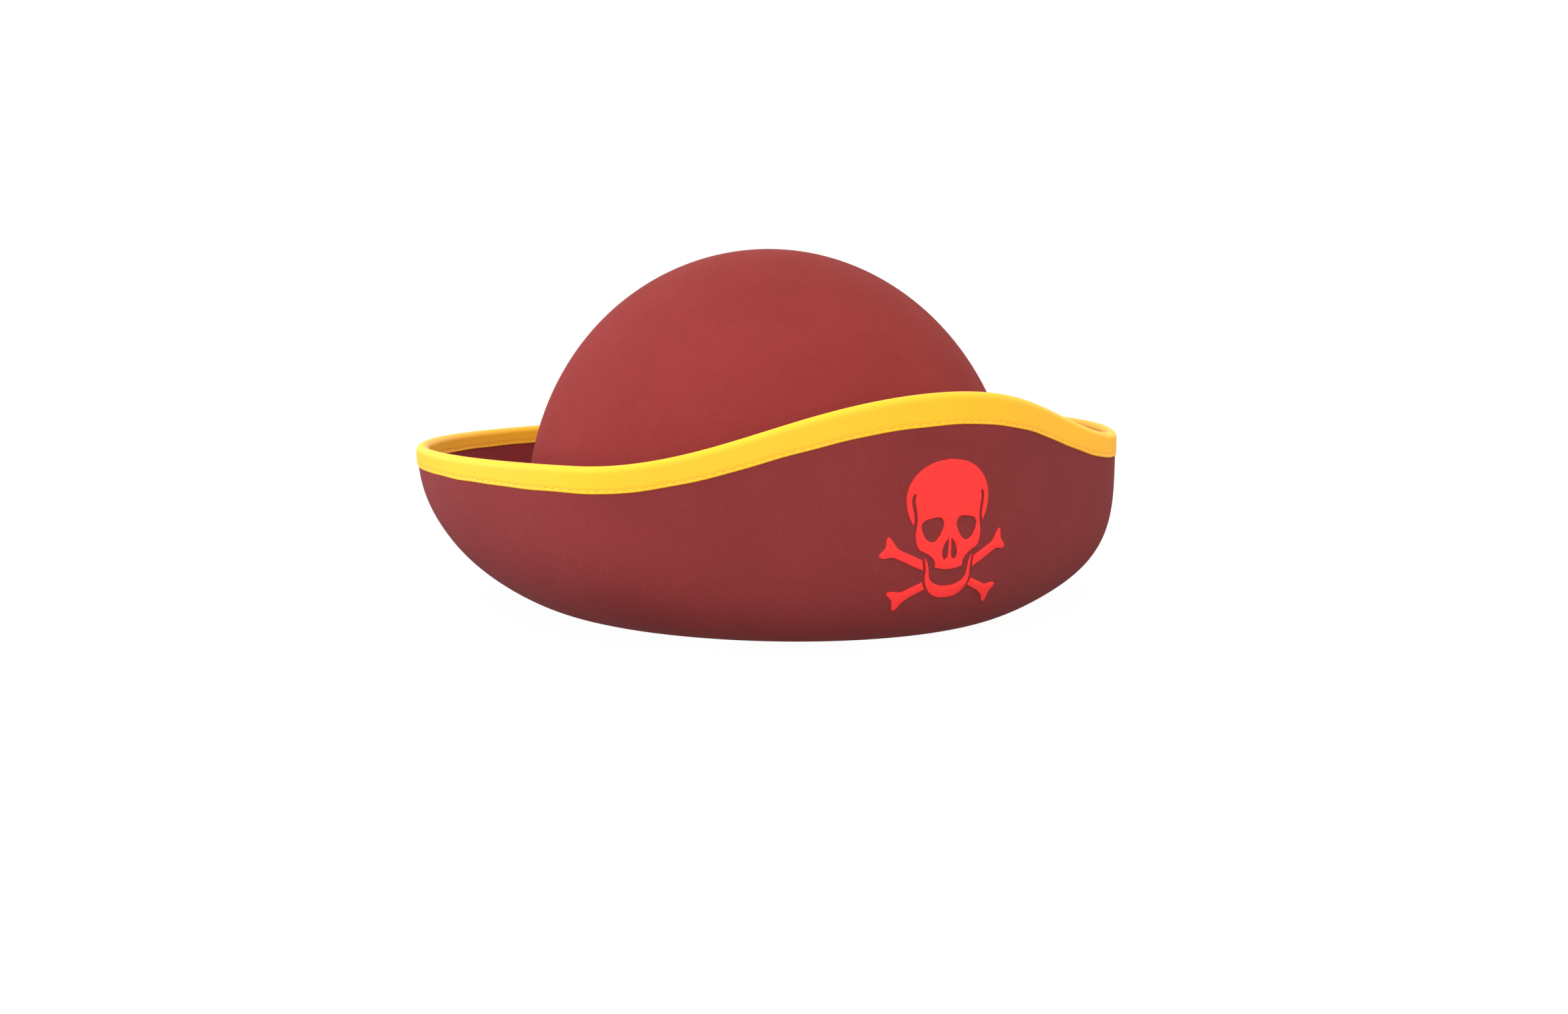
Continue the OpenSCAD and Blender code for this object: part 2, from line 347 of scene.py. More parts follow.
class Surface:
    """A material and short calls for its nodes. A value is a number or another node's output."""

    NOISE_LOW, NOISE_HIGH = 0.3, 0.7       # noise seldom goes past these

    def __init__(self, name):
        self.material = bpy.data.materials.new(name)
        self.material.use_nodes = True
        self.tree = self.material.node_tree
        self.tree.nodes.clear()
        self.shader = self.new("BsdfPrincipled")
        self.link(self.shader.outputs["BSDF"], self.new("OutputMaterial").inputs["Surface"])
        self.where = self.new("TexCoord").outputs["Object"]

    def new(self, kind):
        return self.tree.nodes.new("ShaderNode" + kind)

    def link(self, output, socket):
        self.tree.links.new(output, socket)

    def put(self, socket, value):
        if isinstance(value, bpy.types.NodeSocket):
            self.link(value, socket)
        else:
            socket.default_value = value

    def math(self, op, a, b=0.0, *more):
        """One Math node, or a chain of them for more than two values."""
        n = self.new("Math")
        n.operation = op
        self.put(n.inputs[0], a)
        self.put(n.inputs[1], b)
        return self.math(op, n.outputs[0], *more) if more else n.outputs[0]

    def add(self, *values):
        return self.math("ADD", *values)

    def times(self, a, b):
        return self.math("MULTIPLY", a, b)

    def waves(self, along, length):
        """A sine wave of the given length, from -1 to 1."""
        return self.math("SINE", self.times(along, 2 * math.pi / length))

    def scaled(self, by, turned_by=(0, 0, 0), vector=None):
        """Coordinates scaled along each axis and turned: the object's own, unless others are given."""
        n = self.new("Mapping")
        self.put(n.inputs["Vector"], vector or self.where)
        n.inputs["Scale"].default_value = by
        n.inputs["Rotation"].default_value = turned_by
        return n.outputs[0]

    def noise(self, scale=1.0, detail=2.0, vector=None, distortion=0.0, rough=0.5):
        n = self.new("TexNoise")
        self.put(n.inputs["Vector"], vector or self.where)
        n.inputs["Scale"].default_value = scale
        n.inputs["Detail"].default_value = detail
        n.inputs["Distortion"].default_value = distortion
        n.inputs["Roughness"].default_value = rough
        return n.outputs["Fac"]

    def ranged(self, value, low, high, to_low, to_high):
        """A value carried from one range to another."""
        n = self.new("MapRange")
        for socket, v in zip(n.inputs, (value, low, high, to_low, to_high)):
            self.put(socket, v)
        return n.outputs[0]

    def spread(self, noise, to_low, to_high):
        """Noise carried from the range that it keeps to, to another."""
        return self.ranged(noise, self.NOISE_LOW, self.NOISE_HIGH, to_low, to_high)

    def weave(self):
        """The weave map, then its way along the cloth and its way up it."""
        n = self.new("UVMap")
        n.uv_map = "weave"
        parts = self.new("SeparateXYZ")
        self.link(n.outputs[0], parts.inputs[0])
        return n.outputs[0], parts.outputs[0], parts.outputs[1]

    def fix(self, values):
        """Sets the shader's values that are the same all over the surface."""
        for name, value in values.items():
            self.shader.inputs[name].default_value = value

    def finished(self, colour, tone, roughness, height, strength, depth):
        """The material: its colour times a tone, its roughness, and bumps up to depth metres."""
        shade = self.new("VectorMath")
        shade.operation = "SCALE"
        shade.inputs[0].default_value = colour
        self.put(shade.inputs["Scale"], tone)
        bump = self.new("Bump")
        bump.inputs["Strength"].default_value = strength
        bump.inputs["Distance"].default_value = depth
        self.put(bump.inputs["Height"], height)
        self.put(self.shader.inputs["Base Color"], shade.outputs[0])
        self.put(self.shader.inputs["Roughness"], roughness)
        self.put(self.shader.inputs["Normal"], bump.outputs[0])
        return self.material


# Fibres that lie three ways: noise scale along each axis, and turn
FIBRE_RUNS = (((2200, 330, 420), (0.3, 0.2, 0.5)),
              ((360, 2100, 380), (0.7, 0.1, 0.2)),
              ((400, 350, 2300), (0.2, 0.6, 0.9)))


def felt(name, colour, fuzz=0.3, fibre=0.5, mottle=0.05, sheen=0.03, gloss=0.25):
    """Pressed wool felt: short fibres lying all ways, slight mottling, a dull nap."""
    s = Surface(name)
    runs = [s.noise(vector=s.scaled(scale, turn), distortion=0.9) for scale, turn in FIBRE_RUNS]
    lie = s.ranged(s.math("MAXIMUM", *runs), 0.48, 0.74, 0, 1)
    grain = s.noise(1400, detail=3.0, rough=0.65)
    cloud = s.noise(38, detail=3.0)
    tone = s.add(s.ranged(lie, 0, 1, 1 - fibre * 0.12, 1 + fibre * 0.1),
                 s.spread(cloud, -mottle, mottle), s.spread(grain, -0.05, 0.05))
    height = s.add(s.times(lie, 0.7), s.times(grain, 0.5))
    s.fix({"Specular IOR Level": gloss, "Sheen Weight": sheen, "Sheen Roughness": 0.55,
           "Sheen Tint": (min(1, colour[0] * 2), colour[1] * 4, colour[2] * 4, 1)})
    return s.finished(colour, tone, s.spread(grain, 0.82, 0.96), height, strength=fuzz, depth=0.0004)


def grosgrain(name, colour, rib=0.0009, rough=0.5, strength=0.35, sheen=0.05, contrast=1.0):
    """Ribbed ribbon: a rib every rib metres along it, with finer threads running along its length."""
    s = Surface(name)
    weave, along, up = s.weave()
    ribs = s.waves(along, rib)
    threads = s.waves(up, rib * 0.38)
    slub = s.noise(vector=s.scaled((90, 2400, 1), vector=weave))
    # Painted shade darkens the rib valleys and painted light lightens the rib tops. Slubs and a slow cloud
    # vary the tone at random. contrast scales both the painted shade and the slub tone.
    tone = s.add(s.ranged(ribs, -1, 1, 1 - 0.05 * contrast, 1 + 0.03 * contrast),
                 s.spread(slub, -0.03 * contrast, 0.03 * contrast), s.spread(s.noise(30), -0.02, 0.02))
    height = s.add(ribs, s.add(s.times(threads, 0.22), s.times(slub, 0.4)))
    s.fix({"Specular IOR Level": 0.2, "Sheen Weight": sheen, "Sheen Roughness": 0.4})
    return s.finished(colour, tone, s.spread(slub, rough - 0.05, rough + 0.08), height, strength,
                      depth=0.00012)


def satin(name, colour):
    """Lining satin: long floats that shine, and faint pulls."""
    s = Surface(name)
    floats = s.noise(detail=3.0, vector=s.scaled((260, 260, 3200)))
    pulls = s.noise(70, distortion=0.4)
    tone = s.add(s.spread(floats, 0.93, 1.06), s.spread(pulls, -0.04, 0.04))
    height = s.add(s.times(floats, 0.3), pulls)
    s.fix({"Specular IOR Level": 0.4, "Sheen Weight": 0.2, "Sheen Roughness": 0.3})
    return s.finished(colour, tone, s.spread(floats, 0.40, 0.52), height, strength=0.25, depth=0.0005)


def gauze(name, colour, pitch=0.0016):
    """Buckram: a stiff open weave with a coarse thread every pitch metres, filled with size."""
    s = Surface(name)
    _, along, up = s.weave()
    warp, weft = (s.math("ABSOLUTE", s.waves(way, 2 * pitch)) for way in (along, up))
    cloth = s.math("MAXIMUM", warp, weft)
    tone = s.ranged(cloth, 0.4, 1, 0.75, 1.05)
    return s.finished(colour, tone, s.spread(s.noise(500), 0.6, 0.8), cloth, strength=0.6, depth=0.0003)


def thread(name, colour):
    """Sewing thread: fine twisted plies."""
    s = Surface(name)
    plies = s.noise(detail=1.0, vector=s.scaled((3500, 3500, 3500)))
    return s.finished(colour, s.spread(plies, 0.88, 1.08), s.spread(plies, 0.45, 0.6), plies,
                      strength=0.3, depth=0.0001)


def metal(name, colour, rough):
    """Drawn metal: fine scratches and slightly uneven polish."""
    s = Surface(name)
    drawn = s.noise(detail=3.0, vector=s.scaled((900, 900, 6000)))
    s.fix({"Metallic": 1.0})
    return s.finished(colour, s.spread(drawn, 0.92, 1.05), s.spread(drawn, rough - 0.08, rough + 0.1), drawn,
                      strength=0.2, depth=0.00005)


CROWN_RED = (0.219, 0.0280, 0.0268)
BRIM_RED = (0.204, 0.0248, 0.0262)
# The inner felt below is lighter than the brim's outer felt: painted light inside the brim, where the crown
# shades it.
LIGHTENED_FACING_RED = (0.245, 0.0252, 0.0265)
EMBLEM_RED = (0.920, 0.038, 0.037)
GOLD = (0.990, 0.500, 0.024)
GOLD_THREAD = (0.95, 0.44, 0.024)
BAND_BROWN = (0.042, 0.012, 0.011)
BAND_THREAD = (0.10, 0.022, 0.020)
LINING_RED = (0.19, 0.016, 0.021)
BUCKRAM_CREAM = (0.66, 0.60, 0.46)
STEEL = (0.55, 0.55, 0.56)
BRASS = (0.72, 0.48, 0.17)

crown_mat = felt("crown_felt_mat", CROWN_RED, gloss=0.08)
brim_mat = felt("brim_felt_mat", BRIM_RED)
facing_mat = felt("brim_facing_mat", LIGHTENED_FACING_RED)
emblem_mat = felt("emblem_felt_mat", EMBLEM_RED, fuzz=0.2, fibre=0.3, mottle=0.02, sheen=0.0)
gold_mat = grosgrain("gold_ribbon_mat", GOLD, strength=0.1, sheen=0.0, contrast=0.3)
gold_thread_mat = thread("gold_thread_mat", GOLD_THREAD)
band_mat = grosgrain("sweatband_mat", BAND_BROWN, rib=0.0012, rough=0.6)
band_thread_mat = thread("band_thread_mat", BAND_THREAD)
lining_mat = satin("lining_satin_mat", LINING_RED)
buckram_mat = gauze("buckram_mat", BUCKRAM_CREAM)
wire_mat = metal("wire_steel_mat", STEEL, 0.35)
brass_mat = metal("joiner_brass_mat", BRASS, 0.3)


def add(piece, mat, slot, *nodes):
    """Gives a piece its material and its body, and hides the CAD nodes that it stands for. slot is not used.
    """
    piece.data.materials.append(mat)
    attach(piece, BODY)
    if nodes:
        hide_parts(*nodes)
    return piece


# ---- Crown ----

def dome_arc(inset, low, high, steps):
    """The dome's profile from one angle up it to another, inset mm in from its outside."""
    return [[(HALF_LENGTH - inset) * math.cos(a), SHOULDER + (CROWN_TOP - SHOULDER - inset) * math.sin(a)]
            for a in np.linspace(low, high, steps)]


def upright(inset, foot, steps):
    """The profile of the wall below the dome."""
    return [[HALF_LENGTH - inset, z] for z in np.linspace(foot, SHOULDER, steps, endpoint=False)]


def crown_layer(inset):
    """One face of the crown's felt, from its foot to the top."""
    return upright(inset, OUTER_FELT, steps=10) + dome_arc(inset, 0, math.pi / 2, steps=60)


CROWN_BUMP = 0.0016                        # share of a point's distance from the origin
BUMP_SPAN = 30.0                           # it makes waves 84 to 145 mm long, that fade out below it


def crown_bumps(p):
    """The blocked crown's slight unevenness, which fades out towards its foot."""
    x, y, z = (p[..., k] / BUMP_SPAN for k in range(3))
    wave = np.sin(x + 1.3 * y + 0.4) * np.sin(1.1 * z + 0.7 * x) + 0.6 * np.sin(2.1 * y - 0.8 * z)
    return 1 + CROWN_BUMP * wave * np.clip(z, 0, 1)


crown = domed("crown_felt", crown_layer(0)[::-1] + crown_layer(CROWN_FELT), around=216, bumps=crown_bumps)
add(crown, crown_mat, "crown_felt", "crown")

# ---- Outer felt: the brim's outside, and a collar that turns in under the crown ----

BRIM_COLUMNS = 420
brim_phi = columns(BRIM_COLUMNS)
foot_in = pairs(crown_r(brim_phi, BAND_INSET), 0)
foot_out = pairs(crown_r(brim_phi, 0), 0)
collar_high = pairs(crown_r(brim_phi, BAND_INSET), COLLAR)
collar_back = pairs(crown_r(brim_phi, CROWN_FELT), COLLAR)
collar_foot = pairs(crown_r(brim_phi, CROWN_FELT), OUTER_FELT)
outer_top = felt_top(brim_phi) + edge_rise(OUTER_FELT)
outer = (rounded(collar_high, foot_in, foot_out, cut=1.3)
         + face_up(brim_phi, 0, felt_top(brim_phi), rows=52)
         + over_edge(brim_phi, 0, OUTER_FELT, steps=7)[1:]
         + face_up(brim_phi, OUTER_FELT, outer_top, rows=30)[-2::-1]
         + between(collar_foot, collar_back, (0, 0.35, 0.7))
         + rounded(collar_foot, collar_back, collar_high, cut=0.5, steps=3)
         + rounded(collar_back, collar_high, foot_in, cut=0.5, steps=3)
         + between(collar_high, foot_in, (0.3, 0.6)))
brim_outer = add(ring_of("brim_outer_felt_cloth", brim_phi, outer), brim_mat, "brim_felt", "brim_outer_felt")

# ---- Stiffener: buckram, up to the wire under the rim ----

WIRE_R = 0.45
buckram_phi = brim_phi[::2]
wire_low = felt_top(buckram_phi) - WIRE_R
buckram = face_up(buckram_phi, OUTER_FELT, wire_low, rows=24)
buckram += face_up(buckram_phi, OUTER_FELT + STIFFENER, wire_low, rows=24)[::-1]
brim_buckram = add(ring_of("brim_buckram_cloth", buckram_phi, buckram), buckram_mat, "buckram",
                   "brim_stiffener")

# ---- Inner felt: the facing seen inside the brim ----

facing_depth = OUTER_FELT + STIFFENER
inner = (face_up(brim_phi, facing_depth, felt_top(brim_phi) + edge_rise(facing_depth), rows=30)
         + over_edge(brim_phi, facing_depth, BRIM_FELT, steps=6)[1:-1]
         + face_up(brim_phi, BRIM_FELT, felt_top(brim_phi), rows=48)[::-1])
brim_inner = add(ring_of("brim_inner_felt_cloth", brim_phi, inner), facing_mat, "brim_lining_felt",
                 "brim_inner_felt")


# ---- Binding: the ribbon's ends lie on each other at the back ----

def lap(phi, half, ramp):
    """1 where a ribbon's ends lie on each other at the back, 0 elsewhere, with a ramp at each side."""
    return smooth((half + ramp - np.abs(phi - np.pi)) / (2 * ramp))


def lap_lines(half, ramp, shares):
    """Angles on the two ramps of an overlap at the back."""
    return [math.pi + side * (half + k * ramp) for side in (-1, 1) for k in shares]


BIND_LAP = 6.0 / RIM_HALF_LENGTH           # half the overlap of the ribbon's ends, as an angle
BIND_RAMP = 0.7 / RIM_HALF_LENGTH
BIND_COLUMNS = 504
FINE_HEIGHT = 2.1                          # of the close rows above each edge, round the stitches
STITCH_UP = 1.3                            # of the stitch lines, above the ribbon's edges
STITCH_PULL, PULL_WIDTH = 0.16, 0.42       # how deep they pull the ribbon in, and how widely
SELVAGE_THIN, SELVAGE_WIDTH = 0.25, 0.16   # how much thinner the ribbon's edges are, and how widely
LAP_PROUD = 0.9                            # share of the ribbon's thickness that the overlap adds
ABOVE_STITCHES = 9.0                       # a height above the edge that is well clear of their pull


def bind_low(phi):
    """Height of the ribbon's outside edge, with the slight waver of sewing by hand."""
    even = rim_z(phi) - from_back(BIND_BACK, BIND_FRONT, phi)
    return even + 0.07 * np.sin(23 * phi) + 0.05 * np.sin(41 * phi + 1)


def bind_inside(phi):
    """Height of the ribbon's inside edge, without a waver."""
    return felt_top(phi) - (BIND_INSIDE - RIBBON - EDGE_R)


def proud_at(phi, up):
    """How far the ribbon's face stands off the felt, up mm above its edge.

    It is thin at the selvage, and the stitches pull it in.
    """
    return (RIBBON * (1 + LAP_PROUD * lap(phi, BIND_LAP, BIND_RAMP))
            - STITCH_PULL * bell(up - STITCH_UP, PULL_WIDTH) - SELVAGE_THIN * bell(up, SELVAGE_WIDTH))


def leg(low, top, steps):
    """Heights up one side of the ribbon, with close rows near its edge."""
    fine = np.concatenate([np.linspace(0, 0.5, 5), np.linspace(0.65, FINE_HEIGHT, 9)])
    return [low + u for u in fine] + [low + FINE_HEIGHT + (top - low - FINE_HEIGHT) * t
                                      for t in np.linspace(0, 1, steps)[1:-1]]


bind_phi = columns(BIND_COLUMNS, lap_lines(BIND_LAP, BIND_RAMP, (-1, -0.5, 0, 0.5, 1)))
low, top = bind_low(bind_phi), felt_top(bind_phi)
inside_low = bind_inside(bind_phi) + 0.06 * np.sin(29 * bind_phi + 2)
leg_out, leg_in = leg(low, top, steps=11), leg(inside_low, top, steps=6)
shown = [on_brim(bind_phi, -proud_at(bind_phi, z - low), z) for z in leg_out]
shown += round_edge(bind_phi, proud_at(bind_phi, ABOVE_STITCHES), np.linspace(0, math.pi, 19))
shown += [on_brim(bind_phi, BRIM_FELT + proud_at(bind_phi, z - inside_low), z) for z in leg_in[::-1]]
behind = [on_brim(bind_phi, 0.0, z) for z in leg_out[::3]]
behind += round_edge(bind_phi, 0, np.linspace(0, math.pi, 10))
behind += [on_brim(bind_phi, BRIM_FELT, z) for z in leg_in[::-3]]
binding = add(ring_of("gold_binding", bind_phi, shown + behind[::-1], sharp=50), gold_mat, "gold_ribbon",
              "edge_binding")

# ---- Stitches ----

STITCH_STEPS, STITCH_SIDES = 7, 8


def stitches(name, line, outward, mat, slot, length, gap, radius):
    """Thread stitches along a line of points: each rises out of the cloth and dips back in."""
    along = run_of(line)
    count = int(along[-1] / (length + gap))
    pitch = along[-1] / count
    t = np.linspace(-1, 1, STITCH_STEPS)
    s = (np.arange(count)[:, None] + 0.5) * pitch + t[None] * (pitch - gap) / 2
    centre, out = (np.stack([np.interp(s, along, part[:, k]) for k in range(3)], axis=-1)
                   for part in (line, outward))
    out /= np.linalg.norm(out, axis=-1, keepdims=True)
    way = np.gradient(centre, axis=1)
    way /= np.linalg.norm(way, axis=-1, keepdims=True)
    side = np.cross(way, out)
    rise = (0.75 * (1 - t**2) - 0.55)[None, :, None] * radius
    thick = (radius * np.sqrt(np.maximum(0.03, 1 - t**4)))[None, :, None, None]
    turn = np.linspace(0, 2 * np.pi, STITCH_SIDES, endpoint=False)[:, None]
    ring = out[:, :, None] * np.cos(turn) + side[:, :, None] * np.sin(turn)
    points = (centre + out * rise)[:, :, None] + ring * thick
    each = STITCH_STEPS * STITCH_SIDES
    faces = grid_faces(STITCH_STEPS, STITCH_SIDES, ring=False, loop=True)[0].tolist()
    faces += [list(range(STITCH_SIDES)), list(range(each - STITCH_SIDES, each))[::-1]]
    all_faces = [[v + each * k for v in face] for k in range(count) for face in faces]
    add(made(name, points.reshape(-1, 3), all_faces), mat, slot)


def line_on(phi, depth, z):
    """A line on the brim and the way out from its surface, which is away from the middle of the felt."""
    points = at(phi, brim_r(phi, depth, z), z)
    outward = at(phi, 1.0, 0.0) * (1 if np.mean(depth) < EDGE_R else -1)
    return points, outward


seam_phi = np.linspace(0, 2 * np.pi, 4 * 360 + 1)          # every quarter of a degree
seam_proud = proud_at(seam_phi, STITCH_UP)
for side, depth, edge in (("outside", -seam_proud, bind_low(seam_phi)),
                          ("inside", BRIM_FELT + seam_proud, bind_inside(seam_phi))):
    stitches(f"binding_stitches_{side}", *line_on(seam_phi, depth, edge + STITCH_UP),
             gold_thread_mat, "gold_ribbon", length=2.5, gap=0.9, radius=0.24)

JOIN_INSET = 2.2                           # from the overlap's side to the stitches that hold it
join_phi = math.pi + BIND_LAP - JOIN_INSET / RIM_HALF_LENGTH
join_z = np.linspace(bind_low(join_phi) + 2, felt_top(join_phi) + 1.2, 40)
join = np.full_like(join_z, join_phi)
stitches("binding_join_stitches", *line_on(join, -proud_at(join, ABOVE_STITCHES), join_z),
         gold_thread_mat, "gold_ribbon", length=1.3, gap=0.5, radius=0.22)

# ---- Sweatband ----

BAND_LAP, BAND_RAMP = 0.045, 0.006         # half the overlap at the back and its ramp, as angles
BAND_THICK = 1.0
BAND_DOUBLED = 0.7                         # what the overlap adds to it
BAND_STITCH_UP = 2.2
GROOVE_DEPTH, GROOVE_WIDTH = 0.25, 0.5     # of the line that the stitches pull into it
EDGE_THIN, EDGE_WIDTH = 0.5, 0.35          # how much thinner its edges are, and how widely
BAND_EASE, BAND_WAVE = 0.6, 0.12           # how far its top eases out, and how unevenly


def band_inset(phi, up):
    """Inset of the sweatband's back: on the collar below, easing out towards the lining above it."""
    ease = np.clip((up - COLLAR) / (BAND_HEIGHT - COLLAR), 0, 1)
    return BAND_INSET - BAND_EASE * ease**1.5 + BAND_WAVE * ease * np.sin(7 * phi)


def band_thick(phi, up):
    """The ribbon's thickness: doubled at its overlap, less along the stitches and at its two edges."""
    groove = GROOVE_DEPTH * bell(up - BAND_STITCH_UP, GROOVE_WIDTH)
    edges = EDGE_THIN * (bell(up, EDGE_WIDTH) + bell(BAND_HEIGHT - up, EDGE_WIDTH))
    return BAND_THICK + BAND_DOUBLED * lap(phi, BAND_LAP, BAND_RAMP) - groove - edges


band_phi = columns(BRIM_COLUMNS, lap_lines(BAND_LAP, BAND_RAMP, (-1, 0, 1)))
heights = np.concatenate([np.linspace(0, 4, 15), np.linspace(5, BAND_HEIGHT - 1.5, 14),
                          np.linspace(BAND_HEIGHT - 1, BAND_HEIGHT, 6)])      # close rows at both edges
band = [pairs(crown_r(band_phi, band_inset(band_phi, u) + band_thick(band_phi, u)), BAND_FOOT + u)
        for u in heights]
band += [pairs(crown_r(band_phi, band_inset(band_phi, u)), BAND_FOOT + u) for u in heights[::-3]]
sweatband = add(ring_of("sweatband_ribbon_cloth", band_phi, band), band_mat, "sweatband_ribbon", "sweatband")

stitch_r = crown_r(seam_phi, BAND_INSET + band_thick(seam_phi, BAND_STITCH_UP))
stitches("sweatband_stitches", at(seam_phi, stitch_r, BAND_FOOT + BAND_STITCH_UP), -at(seam_phi, 1.0, 0.0),
         band_thread_mat, "sweatband_ribbon", length=3.2, gap=1.6, radius=0.26)

# ---- Lining ----

BAND_CLEAR = 38.0                          # height above which the satin stands clear of the sweatband
PUFF_RISE = 12.0                           # height above that by which it puffs out fully
PUFF = 1.1
BACK_PUFF = 0.999                          # the satin's back puffs out a trace less than its face
SEAM_SINK, SINK_WIDTH = 0.3, 0.9           # how deep its face sinks in at a seam, and how widely
DOME_RISE = 100.0                          # about the dome's height: up there, inward is downward
TIP_PULL = 0.0022                          # share of a point's distance from the origin
TIP_R = 70.0                               # about the tip's radius at its seam


def lining_puff(turn, up):
    """How far the satin stands off the crown: caught at its seams and foot, with soft pulls between."""
    free = np.sin(np.pi * np.clip(turn, 0, 1)) ** 0.35 * np.sin(np.pi * np.clip(up, 0, 1)) ** 0.6
    pulls = 0.35 * np.sin(9 * np.pi * turn + 2.2 * np.sin(5 * up)) * bell(1 - up, 0.25)
    return free * (PUFF + pulls)


def lining_panel(side, facing):
    """One of the four side panels. Its angle facing is 0 at +X, before the squeeze."""
    turn = np.linspace(0, 1, 73)
    angle = facing + (turn - 0.5) * math.pi / 2
    profile = np.array(upright(CROWN_FELT, LINING_FOOT, steps=8)
                       + dome_arc(CROWN_FELT, 0, LINING_SEAM, steps=34))
    r, z = profile.T[:, None]
    share = r / (HALF_LENGTH - CROWN_FELT)

    def layer(off):
        """The panel, off mm in from the crown's inside."""
        in_r = r - off * share
        in_z = z - off * np.clip((z - SHOULDER) / DOME_RISE, 0, 1)
        return np.stack([in_r * np.cos(angle)[:, None] * SQUEEZE, in_r * np.sin(angle)[:, None],
                         in_z + 0 * in_r], axis=-1)

    up = np.linspace(0, 1, len(profile))
    puff = lining_puff(turn[:, None], up[None]) * np.clip((z - BAND_CLEAR) / PUFF_RISE, 0, 1)
    from_seam = np.minimum(turn, 1 - turn)[:, None] * HALF_LENGTH * math.pi / 2
    skin = layer(LINING + puff - SEAM_SINK * bell(from_seam, SINK_WIDTH))
    behind = layer(puff * BACK_PUFF)
    piece = lofted(f"lining_{side}_satin", np.concatenate([skin, behind[:, ::-1]], axis=1), ring=False)
    add(piece, lining_mat, "lining_satin", f"lining_{side}")


for side, facing in (("right", 0), ("back", math.pi / 2), ("left", math.pi), ("front", -math.pi / 2)):
    lining_panel(side, facing)


def tip_bumps(p):
    """Faint pulls round the tip's seam, as a factor on a point's distance from the origin."""
    angle, r = np.arctan2(p[..., 0], p[..., 1]), np.hypot(p[..., 0], p[..., 1])
    pulls = 1 + np.sin(17 * angle + 2.5 * np.sin(3 * angle) + np.sin(7 * angle))
    return 1 - TIP_PULL * np.clip(r / TIP_R, 0, 1) ** 6 * pulls


tip_back, tip_face = (dome_arc(CROWN_FELT + inset, LINING_SEAM, math.pi / 2, steps=40)
                      for inset in (0, LINING))
tip = domed("lining_tip_satin", tip_back[::-1] + tip_face, around=288, bumps=tip_bumps)
add(tip, lining_mat, "lining_satin", "lining_tip")

# ---- Emblem: outlines of [x, z] points on the brim's front, in millimetres ----

def curve(points, steps=8):
    """A smooth curve through points, ends included."""
    p = np.array(points, float)
    found = []
    for i in range(len(p) - 1):
        a, b, c, d = p[max(i - 1, 0)], p[i], p[i + 1], p[min(i + 2, len(p) - 1)]
        for t in np.arange(steps) / steps:
            found.append(b + t * (c - a) / 2 + t * t * (a - 2.5 * b + 2 * c - d / 2)
                         + t**3 * (1.5 * (b - c) + (d - a) / 2))
    return found + [p[-1]]


def reflected(points):
    return [np.array([-q[0], q[1]]) for q in points]


def mirrored(points):
    """The outline's other half, which carries on from its end."""
    return reflected(points)[::-1]


cranium = (curve([[0, 66], [6.2, 65], [11.2, 62.4], [14.3, 59], [16, 55], [16.2, 51.5], [15.6, 48], [14, 44]])
           + curve([[13.5, 45.2], [13.6, 47.4], [14.3, 50.8], [14.3, 53.2], [13.5, 54.8]])
           + curve([[12.8, 54.2], [13.1, 52], [12.6, 49.3], [12.3, 46.4], [12.5, 43.4], [12.9, 40.4],
                    [12.5, 37.4], [11.4, 35.3], [8.9, 34], [6.9, 32.6], [5.6, 30.8], [5.4, 28.9]])
           + curve([[5.4, 28.9], [2.6, 28.2], [0, 28]]))
eye = curve([[11.1, 43.6], [9.8, 45.3], [6.5, 46.1], [3.8, 46.1], [2.5, 44.2], [3.1, 41.6],
             [4.8, 38.9], [6.8, 37.8], [9, 38.8], [10.5, 41.2], [11.1, 43.6]])
nostril = (curve([[0.5, 39], [2.1, 37], [3, 34.4], [2.7, 32.2], [1.9, 31.4]])
           + curve([[1.9, 31.4], [0.7, 32.6], [0.5, 35.6], [0.5, 39]]))
jaw = (curve([[0, 22.1], [2.8, 22.4], [5.6, 23.5], [7.3, 25.3], [7.9, 28.4], [8.5, 31], [9.4, 32.7]])
       + curve([[9.4, 32.7], [9.1, 30], [8.8, 27.6], [8.9, 25.2], [8.2, 22.4], [6.3, 19.8], [3.4, 18.2],
                [0, 17.8]]))
upper_bone = ([[10.4, 31.9], [9.9, 28.1]]
              + curve([[14.8, 30.4], [19.6, 32.8], [21.6, 33.2], [24, 32.9], [25.2, 34], [23.2, 36.6],
                       [22.9, 38.8], [22.3, 40.3], [20.8, 38.8], [19.2, 36.4], [17.2, 35.1]]))
lower_bone = ([[9.9, 24], [8.8, 21.4]]
              + curve([[13.6, 19], [16.2, 16.9], [17.3, 14.8], [18.4, 14.1], [19.1, 15.8], [19.7, 17.8],
                       [21.4, 19.7], [21.7, 20.8], [19.6, 21.2], [17, 20.9], [14, 22.2]]))

SAME_POINT = 0.06                          # closer points than this are one
OUTLINE_STEP = 0.55
FILL_STEP, FILL_CLEAR = 1.6, 0.9           # of the points inside a shape: apart, and from its edges
ROW_SHARE = 0.866                          # of that step, between rows of even triangles
SUNK = 0.03                                # how far a shape's back lies in the brim's face
SHOULDER_REACHES = (0.035, 0.05, 0.075, 0.11, 0.15)
LEAST_REACH = 0.02
BEND_AT = 0.35                             # the roundest part of the shoulder, as a share of its reach
EDGE_HEIGHT, BEND_HEIGHT = 0.68, 0.92      # shares of the felt's thickness, at the outline and there


